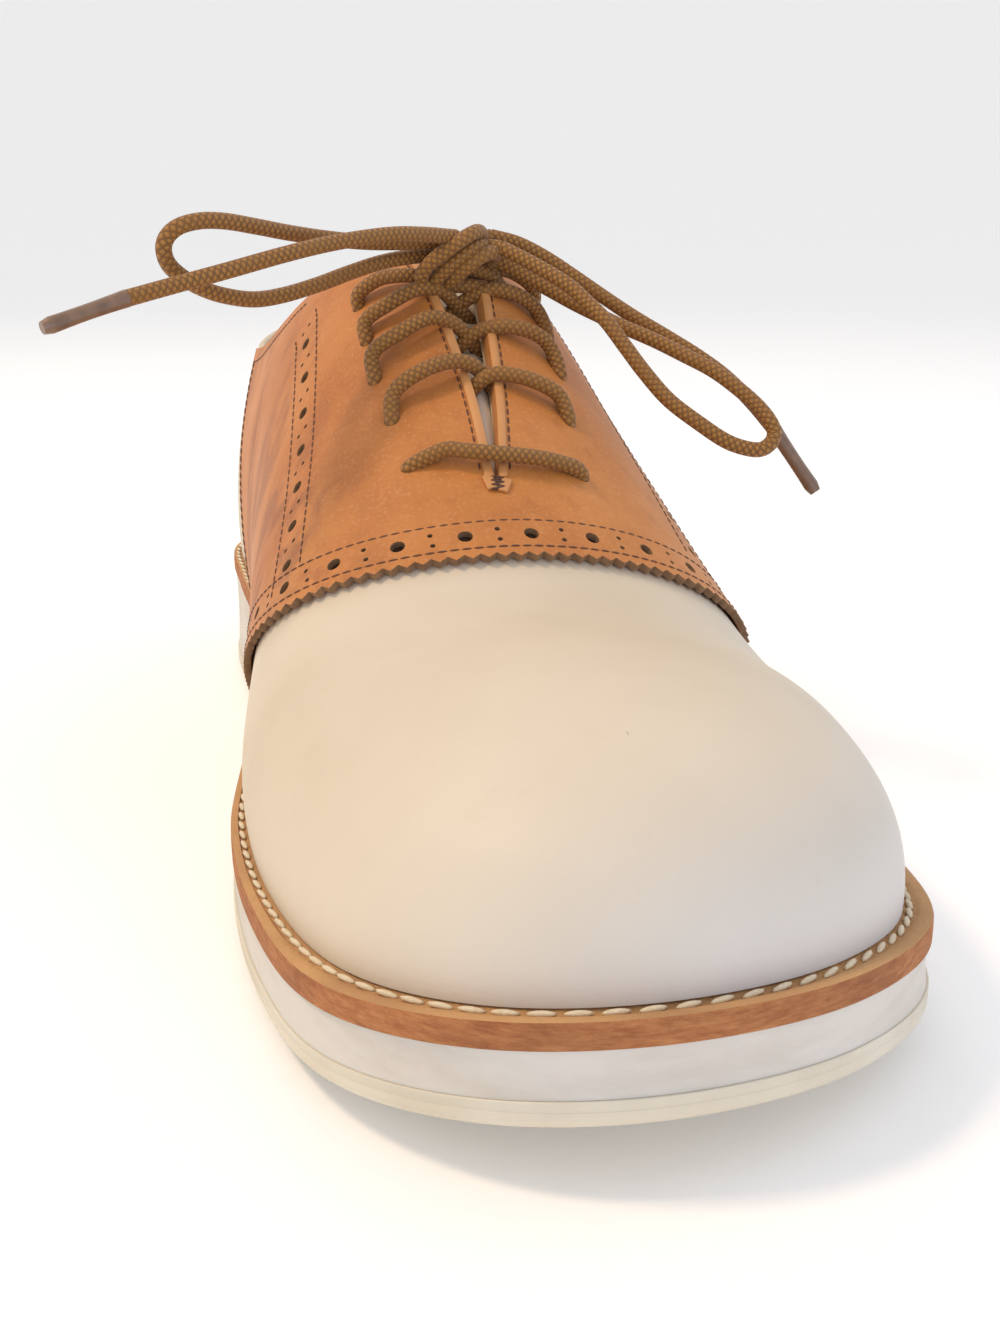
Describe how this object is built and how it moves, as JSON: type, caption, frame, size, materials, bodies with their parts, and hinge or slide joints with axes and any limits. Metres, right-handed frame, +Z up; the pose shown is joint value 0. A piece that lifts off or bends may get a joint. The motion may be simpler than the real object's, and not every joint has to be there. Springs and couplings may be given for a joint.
{
  "type": "saddle shoe",
  "caption": "Left wedge-soled oxford with a contrasting brogued saddle, a welted edge and a round lace tied in a bow.",
  "frame": {"origin": "on the floor under the middle of the outsole's length, where the shoe stands", "axes": "-Y to the toe, +Y to the heel, -X to the big toe's side, +X to the outer side, +Z up"},
  "size_m": [0.1466, 0.3, 0.1152],
  "materials": {
    "cream_rubber": "slightly translucent cream crepe rubber, matt",
    "white_foam": "off-white wedge foam, satin, lightly marked",
    "welt_leather": "tan leather with a rough cut edge",
    "insole_leather": "plain vegetable-tanned leather, matt",
    "ivory_leather": "smooth ivory leather, matt",
    "tan_leather": "smooth tan leather, slightly streaky, satin",
    "waxed_lace": "round woven waxed cotton",
    "aglet_plastic": "shrunk plastic film over the lace's tip"
  },
  "bodies": {
    "root": {"outsole": "cream_rubber", "midsole": "white_foam", "welt": "welt_leather", "insole": "insole_leather", "upper": "ivory_leather", "saddle": "tan_leather", "tongue": "ivory_leather", "lace_bar_1": "waxed_lace", "lace_bar_2": "waxed_lace", "lace_bar_3": "waxed_lace", "lace_bar_4": "waxed_lace", "lace_bar_5": "waxed_lace", "lace_knot": "waxed_lace", "lace_loop_medial": "waxed_lace", "lace_loop_lateral": "waxed_lace", "lace_end_medial": "waxed_lace", "lace_end_lateral": "waxed_lace", "aglet_medial": "aglet_plastic", "aglet_lateral": "aglet_plastic"}
  },
  "joints": []
}
